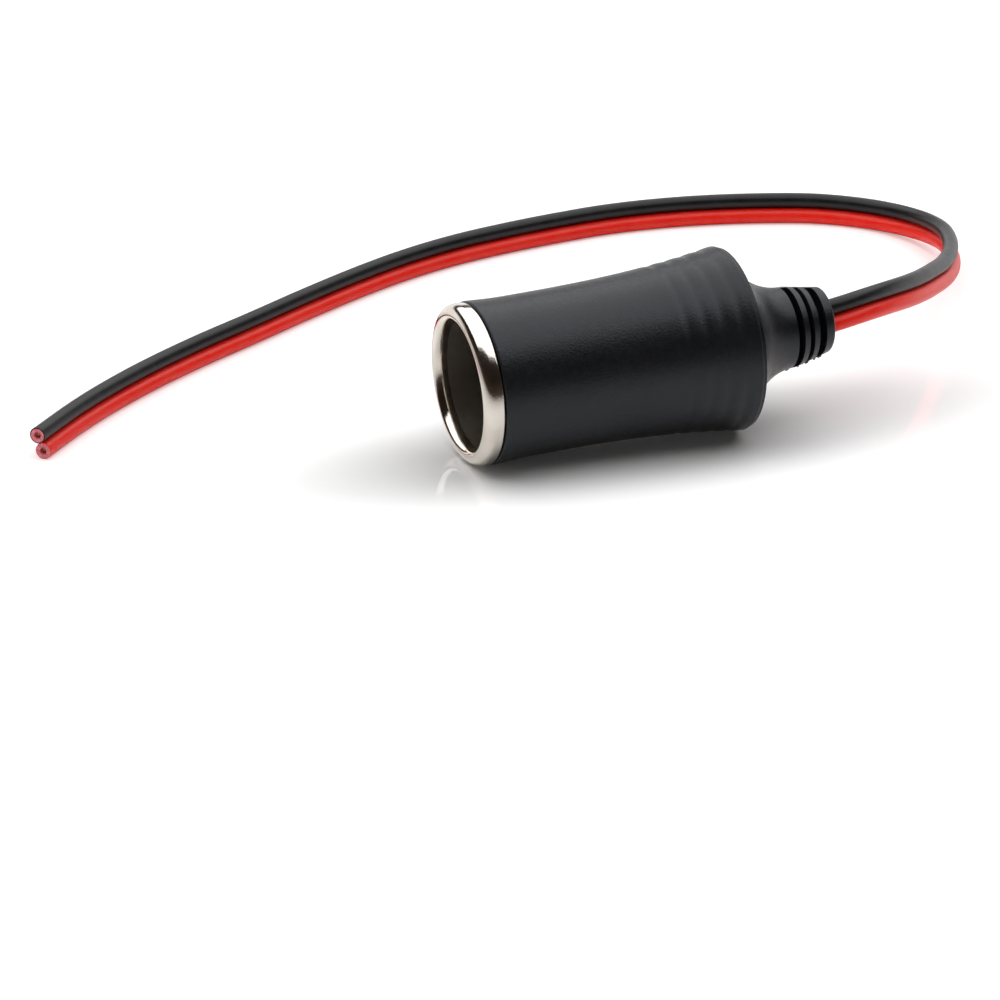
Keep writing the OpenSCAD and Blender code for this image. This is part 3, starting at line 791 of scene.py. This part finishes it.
rows = boot_rows()
outline = rows + list(HOLLOW)
vertices, ring_starts, along_values, off_values, out_values = [], [], [], [], []
for i, (s, r) in enumerate(outline):
    ring_starts.append(len(vertices))
    rise = TAIL_RISE * max(0, (s - RISE_FROM) / (TAIL_AT - RISE_FROM)) ** 2
    for k in range(BOOT_SIDES if r else 1):
        turn = 2 * math.pi * k / BOOT_SIDES
        x, y, z = laid(s, r, turn)
        vertices.append((x / 1000, y / 1000, (z + rise) / 1000))
        along_values.append(s)
        off_values.append(r if i < len(rows) else 0)
        out_values += [-math.cos(turn) * math.sin(TILT), math.sin(turn),
                       math.cos(turn) * math.cos(TILT)]
faces = []
for i in range(len(outline)):
    j = (i + 1) % len(outline)
    here, there = ring_starts[i], ring_starts[j]
    for k in range(BOOT_SIDES):
        n = (k + 1) % BOOT_SIDES
        if outline[i][1] and outline[j][1]:
            faces.append((here + k, here + n, there + n, there + k))
        elif outline[i][1]:
            faces.append((here + k, here + n, there))
        elif outline[j][1]:
            faces.append((here, there + n, there + k))
blank = bpy.data.meshes.new("boot_blank")
blank.from_pydata(vertices, [], faces)
for name, kind, values, field in (("along", "FLOAT", along_values, "value"),
                                  ("off_axis", "FLOAT", off_values, "value"),
                                  ("outward", "FLOAT_VECTOR", out_values, "vector")):
    blank.attributes.new(name, kind, "POINT").data.foreach_set(field, values)
press_tree, press_named = boot_press()
boot = grown("vinyl_boot", press_tree, press_named, {"Vinyl": boot_vinyl}, blank)
for name in ("along", "off_axis", "outward"):
    if name in boot.data.attributes:
        boot.data.attributes.remove(boot.data.attributes[name])
smooth(boot.data, 48)
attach(boot, "root")
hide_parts("moulded_boot")


# Behind the floor, out of sight: a shouldered insulator round the rivet, a brass lug under
# its tail, a tinned steel lug welded to the floor, and the core that was moulded round them
# before the boot. They keep the construction model's solids and only get their finishes.
def finish_node(name, material):
    """Gives a solid of the construction model its material."""
    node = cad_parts[name]
    node.data.materials.clear()
    node.data.materials.append(material)


# Brown phenolic, cut from rod: even and satin, with darker threads of its linen filler
brown_phenolic, tree = new_material("brown_phenolic_rod")
place = along_axis(tree)
linen = put(tree, "ShaderNodeTexWave", {"Vector": place, "Scale": 320, "Distortion": 3.0,
                                        "Detail": 2.0}).outputs["Fac"]
colour = ramp(tree, linen, [(0.2, "#4a2a14"), (0.8, "#6b4023")])
bump = relief(tree, linen, 0.2, 0.00003)
surface(tree, {"Base Color": colour, "Roughness": 0.48, "IOR": 1.6, "Normal": bump})
finish_node("rear_insulator", brown_phenolic)

# Stamped brass strip: yellow, with rolling lines along the strip and small heat stains
stamped_brass, tree = new_material("stamped_brass")
place = along_axis(tree)
rolled = noise(tree, stretched(tree, place, (60, 2600, 2600)), 1, 4)
stain = noise(tree, place, 420, 4)
colour = ramp(tree, stain, [(0.3, "#a67c39"), (0.7, "#d8b56a")])
rough = spread(tree, rolled, 0.2, 0.42)
bump = relief(tree, rolled, 0.25, 0.00001)
surface(tree, {"Base Color": colour, "Metallic": 1.0, "Roughness": rough, "Normal": bump})
finish_node("positive_lug", stamped_brass)

# Steel strip with a hot tin coat: pale grey with soft frosted patches
tinned_steel, tree = new_material("tinned_steel")
place = along_axis(tree)
frost = put(tree, "ShaderNodeTexVoronoi", {"Vector": place, "Scale": 900})
drift = noise(tree, place, 500, 3)
colour = ramp(tree, drift, [(0.3, "#a9abac"), (0.7, "#cccdcb")])
rough = spread(tree, frost.outputs["Distance"], 0.28, 0.5)
surface(tree, {"Base Color": colour, "Metallic": 1.0, "Roughness": rough})
finish_node("negative_lug", tinned_steel)

# Natural polyethylene, milky and a little waxy, with faint flow marks from the gate
natural_core, tree = new_material("natural_polyethylene")
place = along_axis(tree)
flow = put(tree, "ShaderNodeTexNoise", {"Vector": place, "Scale": 180, "Detail": 4,
                                        "Distortion": 1.0}).outputs["Fac"]
colour = ramp(tree, flow, [(0.3, "#cfc8b4"), (0.7, "#e2dccb")])
bump = relief(tree, flow, 0.2, 0.00005)
surface(tree, {"Base Color": colour, "Roughness": 0.42, "IOR": 1.51,
               "Subsurface Weight": 0.2, "Subsurface Scale": 0.001,
               "Normal": bump})
finish_node("inner_core", natural_core)


# The wires' stripped copper and the two solder joints on the lugs, inside the core.
# They keep their solids as well.
solder_tin, tree = new_material("frosted_solder")
place = along_axis(tree)
frost = noise(tree, place, 2400, 5)
colour = ramp(tree, frost, [(0.3, "#a6a8aa"), (0.7, "#d2d3d1")])
bump = relief(tree, frost, 0.4, 0.00003)
surface(tree, {"Base Color": colour, "Metallic": 1.0, "Roughness": 0.36, "Normal": bump})
for name, material in (("black_conductor", drawn_copper), ("red_conductor", drawn_copper),
                       ("black_solder", solder_tin), ("red_solder", solder_tin)):
    finish_node(name, material)


# The floor: a sheet of glossy white acrylic, large enough to fill every view. It keeps the
# object's shadow and a faint image of it, and open floor comes out white by a painted glow
# that is held off near the object, which leaves painted shade round it. How far the glow
# reaches near the object and on the far floor is in metres.
FLOOR_HALF = 4000
GLOW_SQUASH = (0.32, 1.0, 1.0)
NEAR_GLOW_REACH = (0.012, 0.027)
OPEN_LIFT = 0.36
FAR_REACH = (0.2, 1.2)
FAR_LIFT = 0.7

# Cast acrylic: white and glossy, a little dusty. The camera sees it glow away from the
# object, a painted glow, so that open floor comes out white while the shadow stays; near the
# object it has no glow, which is painted shade.
white_acrylic, tree = new_material("glossy_white_acrylic")
seen = put(tree, "ShaderNodeLightPath")
place = put(tree, "ShaderNodeTexCoord").outputs["Object"]
dust = noise(tree, place, 60, 2)
rough = spread(tree, dust, 0.05, 0.08)
squashed = put(tree, "ShaderNodeVectorMath", {0: place, 1: GLOW_SQUASH},
               operation="MULTIPLY").outputs["Vector"]
away = put(tree, "ShaderNodeVectorMath", {0: squashed}, operation="LENGTH").outputs["Value"]
open_floor = spread(tree, away, 0.0, OPEN_LIFT, *NEAR_GLOW_REACH, interpolation_type="SMOOTHSTEP")
far_floor = spread(tree, away, 0.0, FAR_LIFT, *FAR_REACH)
lift = maths(tree, "MULTIPLY", seen.outputs["Is Camera Ray"],
             maths(tree, "ADD", open_floor, far_floor))
surface(tree, {"Base Color": (1, 1, 1, 1), "Roughness": rough, "IOR": 1.49,
               "Emission Color": (1, 1, 1, 1), "Emission Strength": lift})
floor = piece_of("studio_floor", [(-FLOOR_HALF, -FLOOR_HALF, 0), (FLOOR_HALF, -FLOOR_HALF, 0),
                                  (FLOOR_HALF, FLOOR_HALF, 0), (-FLOOR_HALF, FLOOR_HALF, 0)],
                 [(0, 1, 2, 3)], [white_acrylic])


# The light, in metres: one very wide soft box overhead, from far behind the object to a
# little in front of it. The room below is dark, which shows in the metal and the boot, but
# for a low white backdrop behind; what the camera sees past the floor is white.
BOX_HEIGHT = 0.6
BOX_FRONT = -0.31
BOX_BACK = 1.28
BOX_HALF_WIDTH = 0.8
BOX_RADIANCE = 1.64
CARD_SIZE = (0.9, 0.25)
ROOM_DARK_FROM = 0.35
BACKDROP_TOP = (0.17, 0.24)
BACKDROP_EDGE = (0.3, 0.6)

world = bpy.data.worlds.new("studio")
scene.world = world
world.use_nodes = True
tree = world.node_tree
tree.nodes.clear()
seen = put(tree, "ShaderNodeLightPath").outputs
look = put(tree, "ShaderNodeTexCoord").outputs["Generated"]
height = put(tree, "ShaderNodeSeparateXYZ", {"Vector": look}).outputs["Z"]
behind = put(tree, "ShaderNodeVectorMath",
             {0: look, 1: (math.sin(camera_yaw), math.cos(camera_yaw), 0)},
             operation="DOT_PRODUCT").outputs["Value"]
dim = spread(tree, height, 0.0, 1.0, 0.0, ROOM_DARK_FROM)
room = ramp(tree, dim, [(0.0, "#3a3029"), (1.0, "#221b17")])
backdrop = maths(tree, "MULTIPLY", spread(tree, height, 1.0, 0.0, *BACKDROP_TOP),
                 spread(tree, behind, 0.0, 1.0, *BACKDROP_EDGE))
backdrop = maths(tree, "MULTIPLY", backdrop, seen["Is Glossy Ray"])
white = maths(tree, "MAXIMUM", seen["Is Camera Ray"], seen["Is Transmission Ray"])
white = maths(tree, "MAXIMUM", white, backdrop)
colour = put(tree, "ShaderNodeMix", {0: white, 6: room, 7: (1, 1, 1, 1)},
             data_type="RGBA").outputs[2]
light = put(tree, "ShaderNodeBackground", {"Color": colour, "Strength": 1.0})
put(tree, "ShaderNodeOutputWorld", {"Surface": light.outputs["Background"]})


def area_light(name, wide, high, energy):
    """A rectangular lamp that the camera doesn't see."""
    data = bpy.data.lights.new(name, "AREA")
    data.shape = "RECTANGLE"
    data.size = wide
    data.size_y = high
    data.energy = energy
    lamp = placed(name, data)
    lamp.visible_camera = False
    return lamp


box_wide = 2 * BOX_HALF_WIDTH
box_deep = BOX_BACK - BOX_FRONT
soft_box = area_light("soft_box", box_wide, box_deep,
                      BOX_RADIANCE * math.pi * box_wide * box_deep)
soft_box.rotation_euler = (0, 0, -camera_yaw)
middle = (BOX_BACK + BOX_FRONT) / 2
soft_box.location = (middle * math.sin(camera_yaw), middle * math.cos(camera_yaw), BOX_HEIGHT)

# Two weak, low cards, which no surface mirrors, lift the sides that face the camera and
# let a little light into the socket's mouth
for name, energy, at in (("camera_card", 1.0, (-0.36, -0.93, 0.2)),
                         ("mouth_card", 1.9, (-0.95, -0.16, 0.16))):
    card = area_light(name, *CARD_SIZE, energy)
    card.matrix_world = (Matrix.Translation(Vector(at))
                         @ (-Vector(at)).to_track_quat("-Z", "Y").to_matrix().to_4x4())
    card.visible_glossy = False
